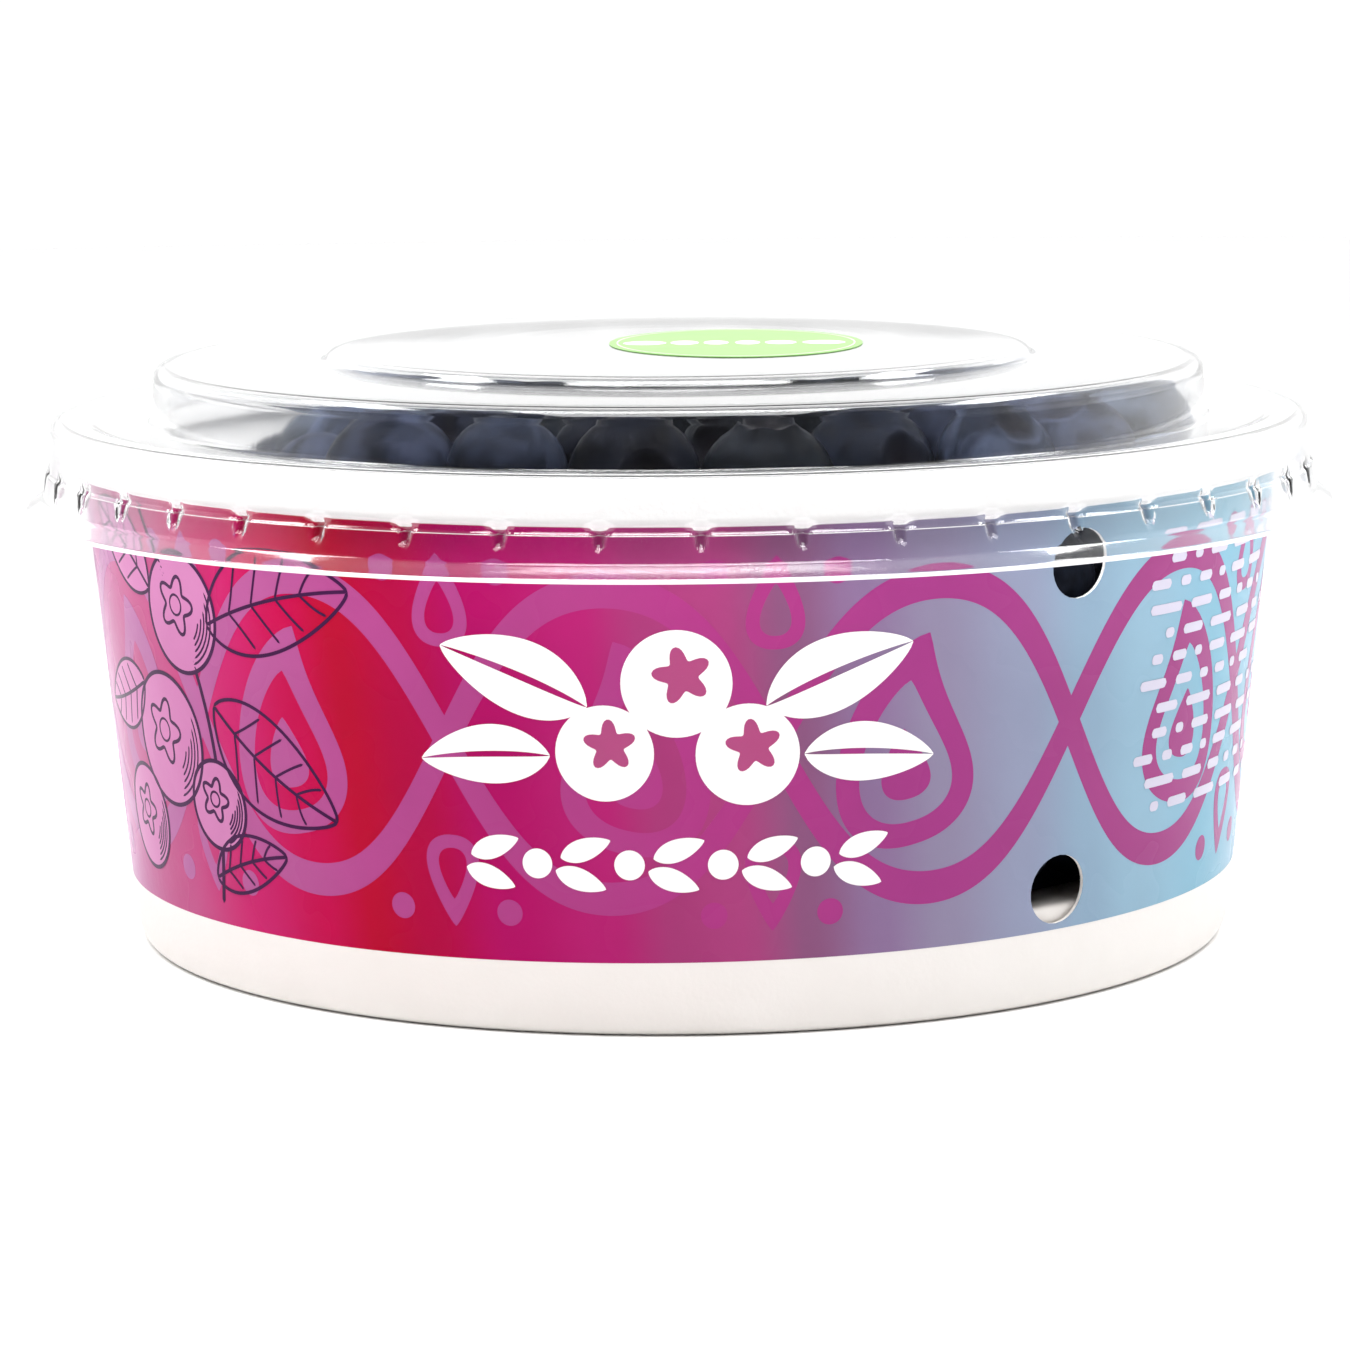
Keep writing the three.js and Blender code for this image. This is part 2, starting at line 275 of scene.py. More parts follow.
def vented(section, outer_rows, inner_rows, lifts):
    """A closed ring of sheet with the vents cut through it, from a grid of (radius, height).

    Both faces of the wall are rows of the same grid. Each vent's square of cells is left out of
    both, rings lead from the square to the circle, and a short tube joins the two circles.
    """
    azimuths, heights = wall_azimuths(), wall_rows()
    rows, columns = len(section), WALL_COLUMNS
    quads = grid_quads(rows, columns, wrap_rows=True, wrap_columns=True)
    keep = np.ones((rows, columns), bool)
    points = [turned(section[..., 0], azimuths[None], section[..., 1]).reshape(-1, 3)]
    extra, count = [], rows * columns
    for azimuth in np.radians(VENT_AZIMUTHS):
        low_column = int(np.round((azimuth - azimuths[0]) / TURN * columns)) - VENT_CELLS // 2
        for height in VENT_HEIGHTS:
            low = int(np.argmin(np.abs(heights - (height - VENT_FRAME))))
            loop_rows, loop_columns = square_loop(low, low_column, VENT_CELLS, columns)
            column_angles = azimuths[0] + TURN * (
                (loop_columns - low_column) % columns + low_column) / columns
            circles = []
            for side, (row_of, lift) in enumerate(zip((outer_rows, inner_rows), lifts)):
                a, z = vent_rings(azimuth, height, lift, column_angles, heights[loop_rows])
                points.append(turned(cone_radius(z) + lift, a, z).reshape(-1, 3))
                n = len(loop_rows)
                first = row_of[loop_rows] * columns + loop_columns
                rings = np.stack([first, count + np.arange(n), count + n + np.arange(n)])
                count += 2 * n
                following = np.roll(rings, -1, axis=1)
                band = np.stack([rings[:-1], following[:-1], following[1:], rings[1:]], -1)
                extra.append((band if side == 0 else band[..., ::-1]).reshape(-1, 4))
                circles.append(rings[-1])
                lows = np.minimum(row_of[low:low + VENT_CELLS], row_of[low + 1:low + VENT_CELLS + 1])
                gone = (low_column + np.arange(VENT_CELLS)) % columns
                keep[np.ix_(lows, gone)] = False
            out, into = circles
            extra.append(np.stack([out, np.roll(out, -1), np.roll(into, -1), into], -1))
    return np.concatenate(points), np.concatenate([quads[keep.reshape(-1)], *extra])


def bowl_section():
    """The bowl's section: the wall, the rolled rim, the wall's inner face and the turned-in foot."""
    rows = wall_rows()
    outer = np.stack([cone_radius(rows), rows], -1)
    inner = np.stack([cone_radius(rows) - BOARD, rows], -1)
    rim_inner = RIM_RADIUS - RIM_WIDTH
    roll = supported(rounded([
        (cone_radius(RIM_BOTTOM) + 0.05, RIM_BOTTOM + 0.25, 0),
        (RIM_RADIUS - 1.2, RIM_BOTTOM, 0.4),
        (RIM_RADIUS - 0.1, RIM_BOTTOM + 0.1, 0.8),
        (RIM_RADIUS, RIM_TOP, 1.6),
        (rim_inner, RIM_TOP, 1.6),
        (rim_inner, RIM_BOTTOM + 0.6, 0.4),
        (cone_radius(RIM_BOTTOM) - BOARD - 0.05, RIM_BOTTOM + 0.1, 0),
    ], 6), 0.2)
    foot_in = cone_radius(0) - 3 * BOARD - 1.2
    foot = rounded([
        (cone_radius(PRINT_BOTTOM) - BOARD, PRINT_BOTTOM - 0.6, 0),
        (cone_radius(1.2) - BOARD - 0.25, 1.3, 0.6),
        (cone_radius(0) - BOARD - 1.1, 0.75, 0.3),
        (foot_in + BOARD, 1.1, 0.3),
        (foot_in + BOARD, HEM_TOP - 0.1, 0.1),
        (foot_in + BOARD / 2, HEM_TOP + 0.05, 0.12),
        (foot_in, HEM_TOP - 0.1, 0.1),
        (foot_in, 0.5, 0.5),
        (foot_in + 0.7, 0.0, 0.3),
        (cone_radius(0) - 0.6, 0.0, 1.3),
        (cone_radius(2.6), 2.6, 1.2),
        (cone_radius(PRINT_BOTTOM), PRINT_BOTTOM - 0.6, 0),
    ], 6)
    section = np.concatenate([outer, roll, inner[::-1], foot])[:, None]
    outer_rows = np.arange(len(rows))
    inner_rows = len(rows) + len(roll) + len(rows) - 1 - outer_rows
    return section, outer_rows, inner_rows


def print_section():
    """The print's thin closed skin, whose lower border runs a little askew round the wall."""
    rows = wall_rows()
    heights = np.repeat(rows[:, None], WALL_COLUMNS, 1)
    heights[0] = PRINT_BOTTOM + PRINT_TILT * cone_radius(PRINT_BOTTOM) * np.sin(wall_azimuths())
    outer = np.stack([cone_radius(heights) + PRINT_LIFT, heights], -1)
    inner = np.stack([cone_radius(heights) + PRINT_LIFT / 4, heights], -1)
    section = np.concatenate([outer, inner[::-1]])
    outer_rows = np.arange(len(rows))
    return section, outer_rows, 2 * len(rows) - 1 - outer_rows


def base_mesh():
    """The recessed base: a disc with a skirt that is folded down between wall and foot."""
    slot = cone_radius(0) - 2 * BOARD - 1.15
    face = refined(rounded([
        (0, BASE_TOP, 0),
        (cone_radius(BASE_TOP) - BOARD - 0.5, BASE_TOP, 0.8),
        (cone_radius(BASE_TOP) - BOARD - 0.5, BASE_TOP - 2, 0.4),
        (slot + BOARD - 0.02, 1.15, 0),
    ], 6), 8.0)
    return capped(face, BOARD - 0.04, TURN * np.arange(240) / 240)


def capped(face, thickness, azimuths, dent=0.0):
    """A closed cap: a sheet's two faces carried round Z, each closed by one point on the axis.

    The dent, one number or a grid by section point and azimuth, is taken off the radius.
    """
    under, over = sheet_section(face, thickness)
    section = np.concatenate([under[1:], over[:-1]])
    points = turned(section[:, :1] - dent, azimuths[None], section[:, 1:]).reshape(-1, 3)
    low, high = under[0, 1] * MM, over[-1, 1] * MM
    points, quads, fans = close_poles(points, len(section), len(azimuths), low, high)
    return points, [*quads, *fans]


def close_poles(points, rows, columns, first, last):
    """Rows of points round Z with a pole at each end, their quads, and a fan of triangles at each pole.

    The first and the last pole lie on the axis at the heights given, in the unit of the points.
    """
    count = len(points)
    j = np.arange(columns)
    right = (j + 1) % columns
    end = (rows - 1) * columns
    fans = np.concatenate([
        np.stack([0 * j + count, right, j], -1),
        np.stack([end + j, end + right, 0 * j + count + 1], -1),
    ])
    quads = grid_quads(rows, columns, wrap_columns=True)
    return np.concatenate([points, [[0, 0, first], [0, 0, last]]]), quads, fans


# The lid

def lug_depth(azimuth, height):
    """How far the skirt is dented by a lug, and how much painted shade lies in the lug's groove.

    A lug is a V of slanting flanks with a narrow groove down its middle that ends in a round
    bottom. Both are distances from an edge, times a slope, cut off at a greatest depth.
    """
    pitch = TURN / LUG_COUNT
    offset = (azimuth - np.radians(LUG_FIRST) + pitch / 2) % pitch - pitch / 2
    across = np.abs(offset) * SKIRT_RADIUS
    reach = np.hypot(across, np.maximum(0, LUG_BOTTOM + GROOVE_HALF - height))
    flank = np.interp(height, [55.0, 57.6], [0.0, 1.7]) - across
    slant = np.clip(0.4 * flank, 0, 0.4) * np.interp(height, [57.2, 58.2], [1.0, 0.0])
    deepest = np.interp(height, [55.4, 57.2, 57.8, 58.6], [0.5, 0.45, 0.1, 0.0])
    inset = np.clip(1.4 * (GROOVE_HALF - reach), 0, deepest)
    # Painted shade in the groove: full at the round bottom, fading out upwards over the rim.
    shade = np.interp(height, [57.3, 57.8, 60.2], [1.0, 0.12, 0.0])
    return slant + inset, shade * np.clip((GROOVE_HALF - 0.1 - reach) / 0.25, 0, 1)


def lid_face():
    """The lid's outer face from its middle to the lip of the brim."""
    return rounded([
        (0, 71.6, 0),
        (28, 71.45, 9),
        (42.3, 70.9, 0.8),
        (43.2, 69.75, 0.4),
        (63.6, 69.65, 2.1),
        (64.2, 62.6, 0.5),
        (70.8, 62.95, 0.6),
        (72.2, 63.5, 0.6),
        (76.15, 63.55, 2.0),
        (76.5, 57.5, 0.2),
        (76.85, 57.15, 0.15),
        (77.25, 54.15, 0.3),
        (78.1, 53.55, 0.3),
        (79.3, 52.75, 0.2),
        (79.42, 52.5, 0),
    ], 5)


def lid_azimuths():
    """Columns of the lid, close together across each lug and wide between them."""
    inner = np.array([0.0, 0.32, 0.5, 0.64, 0.86, 1.1, 1.35])
    steps = np.radians(np.concatenate([-inner[:0:-1], inner, [2.7, 4.09, 5.48]]))
    lugs = np.radians(LUG_FIRST) + TURN * np.arange(LUG_COUNT) / LUG_COUNT
    return (lugs[:, None] + steps[None]).reshape(-1)


def lid_mesh():
    """The lid's thin closed shell, its lugs pressed inwards in both faces, and a mark of the shade painted
    into their grooves.

    The skirt's steps are even and short, but for the plain band above the lugs.
    """
    face = lid_face()
    skirt = face[:, 0] > SKIRT_START
    fine = refined(face[skirt], 0.35)
    plain = (fine[:, 1] > SKIRT_PLAIN[0]) & (fine[:, 1] < SKIRT_PLAIN[1])
    face = np.concatenate([supported(face[~skirt], 0.2), fine[~plain]])
    facing = np.concatenate([face[1:], face[:0:-1]])
    azimuths = lid_azimuths()
    dent, groove = lug_depth(azimuths[None], facing[:, 1:])
    skirt = facing[:, :1] > SKIRT_START
    # The painted shade lies on the skirt only, and not on the two poles.
    shade = np.append(np.where(skirt, groove, 0).reshape(-1), [0.0, 0.0])
    return *capped(face, LID_SHEET, azimuths, np.where(skirt, dent, 0)), shade


def lip_mesh():
    """The sheet's cut edge all round the brim: a thin closed bead, oval across, whose opaque white is a
    painted highlight.
    """
    turn = np.linspace(0, TURN, 12, endpoint=False)[:, None]
    oval = LIP_MIDDLE + LIP_HALF * np.concatenate([np.cos(turn), np.sin(turn)], 1)
    return revolved(oval, TURN * np.arange(480) / 480)


# Print

def closed_sheet(top, low, wrap):
    """A closed sheet: an upper grid of points, the same grid lower down, and sides between them.

    With wrap the last row meets the first one, so that only two of the grid's four edges are open.
    """
    rows, columns = top.shape[:2]
    quads = grid_quads(rows, columns, wrap_rows=wrap)
    count = rows * columns
    index = np.arange(count).reshape(rows, columns)
    ends = [] if wrap else [index[0], index[-1, ::-1]]
    if wrap:
        index = np.concatenate([index, index[:1]])
    borders = [index[:, -1], index[::-1, 0], *ends]
    sides = [np.stack([b[:-1] + count, b[1:] + count, b[1:], b[:-1]], -1) for b in borders]
    points = np.concatenate([top.reshape(-1, 3), low.reshape(-1, 3)])
    return points, np.concatenate([quads, quads[:, ::-1] + count, *sides])


def slab(across, up, lift, wrap=False):
    """A thin closed slab of ink on the wall from a grid of places (mm across, mm up)."""
    area = np.sum(np.gradient(across, axis=0) * np.gradient(up, axis=1)
                  - np.gradient(across, axis=1) * np.gradient(up, axis=0))
    if area > 0:
        across, up = across[:, ::-1], up[:, ::-1]
    azimuth, radius = across / MIDDLE_RADIUS, cone_radius(up) + lift
    return closed_sheet(turned(radius, azimuth, up), turned(radius - INK_DEPTH, azimuth, up), wrap)


def stroke(across, up, width, lift, wrap=False):
    """A stroke along a path: places moved half the width to either side of the path.

    With wrap the path is closed, and may run on round the wall to where it starts.
    """
    path = np.stack([across, up], -1)
    if wrap:
        slope = np.roll(path, -1, axis=0) - np.roll(path, 1, axis=0)
        slope[:, 0] = (slope[:, 0] + WALL_LENGTH / 2) % WALL_LENGTH - WALL_LENGTH / 2
    else:
        slope = np.gradient(path, axis=0)
    slope /= np.maximum(np.linalg.norm(slope, axis=1, keepdims=True), 1e-9)
    normal = np.stack([-slope[:, 1], slope[:, 0]], -1)
    side = np.linspace(-0.5, 0.5, 5)[None, :, None]
    places = path[:, None] + side * np.broadcast_to(width, across.shape)[:, None, None] * normal[:, None]
    return slab(places[..., 0], places[..., 1], lift, wrap)


def open_stroke(across, up, width, lift):
    """A stroke with half-round ends, with its places spread evenly along the path."""
    along = np.concatenate([[0], np.cumsum(np.hypot(np.diff(across), np.diff(up)))])
    count = max(12, int(along[-1] / 0.7))
    share = 0.5 - 0.5 * np.cos(np.linspace(0, np.pi, count))
    share = 0.5 * share + 0.5 * np.linspace(0, 1, count)
    places = share * along[-1]
    end = np.clip(np.minimum(places, along[-1] - places) / (width / 2), 0, 1)
    widths = width * np.sqrt(np.clip(1 - (1 - end) ** 2, 1e-4, 1))
    return stroke(np.interp(places, along, across), np.interp(places, along, up), widths, lift)


def ring(middle, radius, width, lift, lobes=0, wave=0.0):
    """A closed ring: radius times (1 + wave cos(lobes t)) round a middle."""
    t = np.linspace(0, TURN, 72, endpoint=False)
    reach = radius * (1 + wave * np.cos(lobes * t))
    return stroke(middle[0] + reach * np.cos(t), middle[1] + reach * np.sin(t), width, lift, True)


def disc(middle, radius, lift, lobes=0, wave=0.0, turn=0.0):
    """A filled round shape: rays from the middle out to radius times (1 + wave cos(lobes t))."""
    t = np.linspace(0, TURN, 64, endpoint=False)[:, None]
    shares = np.append(0.002, np.linspace(0, 1, int(radius / INK_STEP) + 2)[1:])[None]
    reach = radius * (1 + wave * np.cos(lobes * (t - turn))) * shares
    return slab(middle[0] + reach * np.cos(t), middle[1] + reach * np.sin(t), lift, True)


def leaf_places(middle, length, width, angle, bend=0.0):
    """The rule of a leaf's places: t runs from -1 at the stalk to 1, and side from edge to edge.

    The half width is (1 - t^2)^0.75 times width/2, a little more of it near the stalk.
    """
    def place(t, side):
        along = 0.5 * length * t
        half = 0.5 * width * np.clip(1 - t**2, 0, 1) ** 0.75 * (1 - 0.22 * t)
        over = side * half + bend * (1 - t**2)
        across = middle[0] + along * np.cos(angle) - over * np.sin(angle)
        up = middle[1] + along * np.sin(angle) + over * np.cos(angle)
        return across, up
    return place


def leaf(middle, length, width, angle, lift, bend=0.0, low=-1.0, high=1.0):
    """A filled leaf, or with low and high a part of it on one side of the middle line."""
    count = int(width * (high - low) / 2 / INK_STEP) + 3
    t, side = np.meshgrid(np.linspace(-0.995, 0.995, 40), np.linspace(low, high, count), indexing="ij")
    across, up = leaf_places(middle, length, width, angle, bend)(t, side)
    return slab(across, up, lift)


def leaf_lines(middle, length, width, angle, lift, bend):
    """A leaf in line: its two edges, its middle vein and four pairs of side veins."""
    place = leaf_places(middle, length, width, angle, bend)
    t = np.linspace(-1, 1, 40)
    lines = [open_stroke(*place(t, s), LEAF_PEN, lift) for s in (-1.0, 0.0, 1.0)]
    for start in (-0.6, -0.25, 0.1, 0.42):
        run = np.linspace(0, 0.86, 10)
        for s in (-1, 1):
            lines.append(open_stroke(*place(start + 0.3 * run, s * run), 0.75 * LEAF_PEN, lift))
    return lines


def petal(start, length, width, angle, curl, lift, inset=0.0):
    """A filled petal: round at its start, pointed at its end, along a middle line that bends.

    The line's direction is angle + curl u^2 and the half width is width/2 sin(pi v^0.55)^0.8,
    where u runs from 0 at the start to 1 at the point, and v does so within the inset ends.
    """
    tip = 1 - 2.1 * inset / length
    v = np.linspace(0.02, 0.9995, 56) ** 2
    u = inset / length + (tip - inset / length) * v
    fine = np.linspace(0, 1, 400)
    way = angle + curl * fine**2
    across = start[0] + np.interp(u, fine, np.cumsum(np.cos(way)) * length / 400)
    up = start[1] + np.interp(u, fine, np.cumsum(np.sin(way)) * length / 400)
    turn = np.interp(u, fine, way)
    half = (0.5 * width - inset) * np.clip(np.sin(np.pi * v**0.55), 1e-4, 1) ** 0.8
    side = np.linspace(-1, 1, int(width / INK_STEP) + 3)[None]
    return slab(
        across[:, None] - side * (half * np.sin(turn))[:, None],
        up[:, None] + side * (half * np.cos(turn))[:, None], lift,
    )


WAVE_PERIOD = WALL_LENGTH / 6
WAVE_START = np.radians(VENT_AZIMUTHS[0]) * MIDDLE_RADIUS - 0.75 * WAVE_PERIOD
WAVE_MIDDLE = 33.2
WAVE_REACH = 18.2
PEN = 3.3


def wave_parts():
    """Two waves round the wall that cross, one the other's mirror image.

    The height is the middle plus or minus the reach times cos t - 0.05 cos 3t, where t is 0 at
    the start, which is set so that the vents lie above and below crossings.
    """
    s = np.linspace(0, WALL_LENGTH, 840, endpoint=False)
    turn = TURN * (s - WAVE_START) / WAVE_PERIOD
    swing = WAVE_REACH * (np.cos(turn) - 0.05 * np.cos(3 * turn))
    width = PEN + 0.5 * np.cos(2 * turn)
    return [
        stroke(s, WAVE_MIDDLE + swing, width, MOTIF_LIFT, True),
        stroke(s, WAVE_MIDDLE - swing, width, MOTIF_LIFT + INK_LAYER / 2, True),
    ]


def crossings():
    """Where the waves cross, but for the places that the vents take up."""
    for k in range(12):
        across = WAVE_START + WAVE_PERIOD * (k + 0.5) / 2
        turns = (across / MIDDLE_RADIUS - np.radians(VENT_AZIMUTHS)) / TURN
        if np.min(np.abs(turns - np.round(turns))) > 0.02:
            yield across


def large_drops(lift, inset=0.0):
    """The large drops, one in each field between the waves, leaning by turns."""
    parts = []
    for k in range(12):
        lean = 1 if k % 2 else -1
        start = (WAVE_START + WAVE_PERIOD * k / 2 - 1.6 * lean, 21.0)
        parts.append(petal(start, 24.5, 16.5, np.pi / 2 + 0.22 * lean, -0.75 * lean, lift, inset))
    return parts


def small_drops(across, lift, inset=0.0):
    """The two small drops at a crossing of the waves, one pointing up and one down."""
    return [petal((across, up), 10.5, 6.4, turn, 0.0, lift, inset)
            for up, turn in ((43.8, np.pi / 2), (22.6, -np.pi / 2))]


def drop_parts():
    """The large drops' outer shapes, and small drops and dots where the waves cross."""
    lift = MOTIF_LIFT + INK_LAYER
    parts = large_drops(lift)
    for across in crossings():
        parts += small_drops(across, lift)
        for side in (-1, 1):
            for up in (52.4, 14.0):
                parts.append(disc((across + 6.6 * side, up), 1.5, lift))
    return parts


def drop_gap_parts():
    """The ground colour inside each large drop and each small one."""
    lift = MOTIF_LIFT + 2 * INK_LAYER
    parts = large_drops(lift, 2.7)
    for across in crossings():
        parts += small_drops(across, lift, 1.5)
    return parts


SPRIG_LEAVES = (
    ((-48.5, 46.5), 23.0, 11.5, 0.25, 1.0),
    ((-50.5, 28.5), 22.0, 11.0, -0.55, -1.0),
    ((-79.0, 51.0), 17.0, 8.6, 2.6, -0.8),
    ((-84.0, 33.0), 16.0, 8.0, 3.4, 0.6),
    ((-56.0, 15.8), 14.0, 6.4, 0.3, 0.6),
)
SPRIG_BERRIES = (((-65.0, 44.5), 7.0), ((-71.0, 29.0), 7.8), ((-61.0, 22.5), 5.2), ((-80.0, 18.5), 6.2))


def sprig_fill_parts():
    """The pale tint of the sprig's berries and of its two left leaves."""
    leaves = [leaf(m, l, w, a, LINE_LIFT - 0.003, b) for m, l, w, a, b in SPRIG_LEAVES[2:4]]
    return leaves + [disc(m, r, LINE_LIFT) for m, r in SPRIG_BERRIES]


def sprig_line_parts():
    """The sprig's dark lines: a stem, veined leaves, and berries with a star and a shaded side."""
    t = np.linspace(0, 1, 40)
    lift = LINE_LIFT + INK_LAYER
    parts = [open_stroke(-62 - 9 * t + 5 * np.sin(3.4 * t), 10.8 + 46 * t, 0.6, LINE_LIFT - 0.001)]
    for middle, length, width, angle, bend in SPRIG_LEAVES:
        parts += leaf_lines(middle, length, width, angle, lift, bend)
    for (across, up), radius in SPRIG_BERRIES:
        star = (across - 0.1 * radius, up + 0.12 * radius)
        parts.append(ring((across, up), radius, 0.5, lift))
        parts.append(ring(star, 0.4 * radius, 0.45, lift, 5, 0.26))
        parts.append(ring(star, 0.17 * radius, 0.3, lift))
        for k in range(5):
            turn = np.linspace(-1.25 + 0.1 * k, 0.5 - 0.18 * k, 12)
            reach = radius * (0.88 - 0.085 * k)
            parts.append(open_stroke(across + reach * np.cos(turn), up + reach * np.sin(turn), 0.28, lift))
    return parts


EMBLEM_BERRIES = (((-0.5, 40.2), 6.0), ((-8.4, 32.4), 5.4), ((7.2, 32.2), 5.7))


def emblem_parts():
    """The white emblem: three berries between two pairs of broad leaves with open middle veins."""
    parts = [disc(m, r, WHITE_LIFT) for m, r in EMBLEM_BERRIES]
    for sign in (-1, 1):
        for out, up, length, width, angle in ((17.8, 40.8, 17.5, 8.2, 0.38), (21.4, 31.6, 15.0, 6.6, -0.06)):
            middle = (sign * out - 0.5, up)
            turn = angle if sign > 0 else np.pi - angle
            for low, high in ((-1.0, -0.1), (0.1, 1.0)):
                parts.append(leaf(middle, length, width, turn, WHITE_LIFT, 0.4 * sign, low, high))
    return parts


def emblem_star_parts():
    """The stars of the emblem's berries, in the colour of the ground."""
    return [disc((m[0] + 0.6, m[1] + 0.9), 0.42 * r, WHITE_LIFT + 3 * INK_LAYER, 5, 0.3, 0.3 * r)
            for m, r in EMBLEM_BERRIES]


def border_parts():
    """A row of small white leaves and dots under the emblem."""
    parts = []
    for k in range(9):
        across = -21.5 + 5.2 * k
        if k % 2:
            parts.append(disc((across, 19.8), 1.7, WHITE_LIFT))
        else:
            for sign in (-1, 1):
                middle = (across + 0.3 * sign, 19.8 + 1.75 * sign)
                parts.append(leaf(middle, 6.0, 2.5, 0.35 * sign, WHITE_LIFT))
    return parts


def bar_parts():
    """Rows of short plain bars at the right."""
    parts = []
    lengths = (4.6, 2.2, 6.4, 3.1, 5.2, 1.8, 3.8)
    for k in range(12):
        place = 60.0 + 2.2 * np.sin(1.9 * k)
        for n in range(6):
            length = lengths[(3 * k + 2 * n) % 7]
            path = np.array([place, place + length])
            parts.append(open_stroke(path, np.full(2, 53.0 - 2.9 * k), 1.15, WHITE_LIFT))
            place += length + 2.0
    return parts


# The sticker

def lid_height(reach):
    """The height of the lid's outer face at a distance from its middle."""
    face = lid_face()
    return np.interp(reach, face[:, 0], face[:, 1])


def sticker_sheet(low, high, x, y):
    """A closed sheet on the lid's crown over a grid of places, from one height above it to another."""
    heights = lid_height(np.hypot(x, y))
    top, under = (np.stack([x, y, heights + lift], -1) * MM for lift in (high, low))
    return closed_sheet(top, under, True)


def oval_places(middle, half, inner=0.003):
    """A grid over an oval: rays from its middle to its edge."""
    t = np.linspace(0, TURN, 96, endpoint=False)[:, None]
    share = np.concatenate([[inner], np.linspace(max(inner, 0.15), 1, 8)])[None]
    return middle[0] + half[0] * share * np.cos(t), middle[1] + half[1] * share * np.sin(t)


def sticker_marks():
    """White marks along the sticker's middle, ovals of different lengths, and a line near its edge."""
    x, y = STICKER_MIDDLE
    places = ((-11.0, 2.6), (-6.2, 1.7), (-2.4, 1.5), (1.4, 1.5), (5.4, 1.9), (10.6, 2.6))
    marks = [sticker_sheet(0.10, 0.13, *oval_places((x + a, y - 1.0), (half, 2.6))) for a, half in places]
    edge = oval_places(STICKER_MIDDLE, (STICKER_HALF[0] - 0.9, STICKER_HALF[1] - 0.9), 0.93)
    marks.append(sticker_sheet(0.10, 0.12, edge[0][:, -2:], edge[1][:, -2:]))
    return marks


# The berries

def drawn(seed, count):
    """Repeatable draws between 0 and 1, each state 16807 times the last, modulo 2147483647."""
    values, state = [], seed
    for _ in range(count):
        state = state * 16807 % 2147483647
        values.append(state / 2147483647)
    return np.array(values)


def heap_limit(x):
    """The heap's upper limit: level, and falling away on one side."""
    return HEAP_TOP - HEAP_FALL * np.maximum(0, HEAP_EDGE - x)


def keep_inside(places, radius):
    """Balls moved back inside the base, the wall, the dome and the heap's upper limit."""
    z = np.maximum(BASE_TOP + 0.2 + radius, np.minimum(places[:, 2], heap_limit(places[:, 0]) - radius))
    reach = np.hypot(places[:, 0], places[:, 1])
    under = np.maximum(0, DOME_LEVEL - z)
    above = np.sqrt(np.maximum(0, radius**2 - under**2))
    sideways = reach + above - DOME_RADIUS
    upwards = z + radius - DOME_LEVEL
    touching = (sideways > 0) & (upwards > 0)
    downwards = touching & (upwards <= sideways)
    room = cone_radius(z - radius / 2) - WALL_GAP - radius
    room = np.where(touching & ~downwards, np.minimum(room, reach - sideways), room)
    z = np.where(downwards, z - upwards, z)
    scale = np.minimum(1, room / np.maximum(reach, room))
    return np.stack([places[:, 0] * scale, places[:, 1] * scale, z], -1)


def packed_berries():
    """Middles and radii: berries drawn all over the bowl and pushed apart until they hardly touch."""
    draws = drawn(HEAP_SEED, 5 * BERRY_COUNT).reshape(BERRY_COUNT, 5)
    radius = BERRY_RADIUS + BERRY_SPREAD * (2 * draws[:, 3] - 1)
    places = np.stack([
        (2 * draws[:, 0] - 1) * HEAP_SPREAD,
        (2 * draws[:, 1] - 1) * HEAP_SPREAD,
        BASE_TOP + draws[:, 2] * (HEAP_TOP - BASE_TOP),
    ], -1)
    for _ in range(PUSH_ROUNDS):
        gap = places[None] - places[:, None]
        distance = np.linalg.norm(gap, axis=-1) + np.eye(BERRY_COUNT) * 1e9
        overlap = np.maximum(0, radius[None] + radius[:, None] - distance)
        places = places - np.sum((PUSH_SHARE * overlap / distance)[..., None] * gap, axis=1)
        places = keep_inside(places, radius * 1.02)
    return places, radius


def berry_form():
    """One berry of radius 1: a flattened ball with a lobed crown round a dip at one pole.

    The radius is 1, less a dip at the crown's pole, plus a raised rim round it that is
    higher at each lobe, less a dimple at the stalk's pole. The height is 0.88 of the ball's.
    """
    polar = np.concatenate([
        np.linspace(0.09, 0.3, 3), np.linspace(0.35, 0.52, 5), np.linspace(0.62, np.pi - 0.12, 15),
    ])[:, None]
    turn = np.linspace(0, TURN, 30, endpoint=False)[None]
    lobe = 0.6 + 0.4 * np.cos(5 * turn)
    rim = 0.10 * np.exp(-(((polar - 0.43) / 0.085) ** 2)) * lobe
    dip = 0.17 * np.exp(-((polar / 0.3) ** 2))
    reach = 1 + rim - dip - 0.05 * np.exp(-(((np.pi - polar) / 0.2) ** 2))
    points = np.stack([
        reach * np.sin(polar) * np.cos(turn), reach * np.sin(polar) * np.sin(turn),
        0.88 * reach * np.cos(polar) + 0 * turn,
    ], -1).reshape(-1, 3)
    crown = np.append((np.exp(-((polar / 0.42) ** 4)) + 0 * turn).reshape(-1), [1.0, 0.0])
    points, quads, fans = close_poles(points, len(polar), turn.size, 0.88 * 0.82, -0.88 * 0.95)
    return points, quads[:, ::-1], fans[:, ::-1], crown


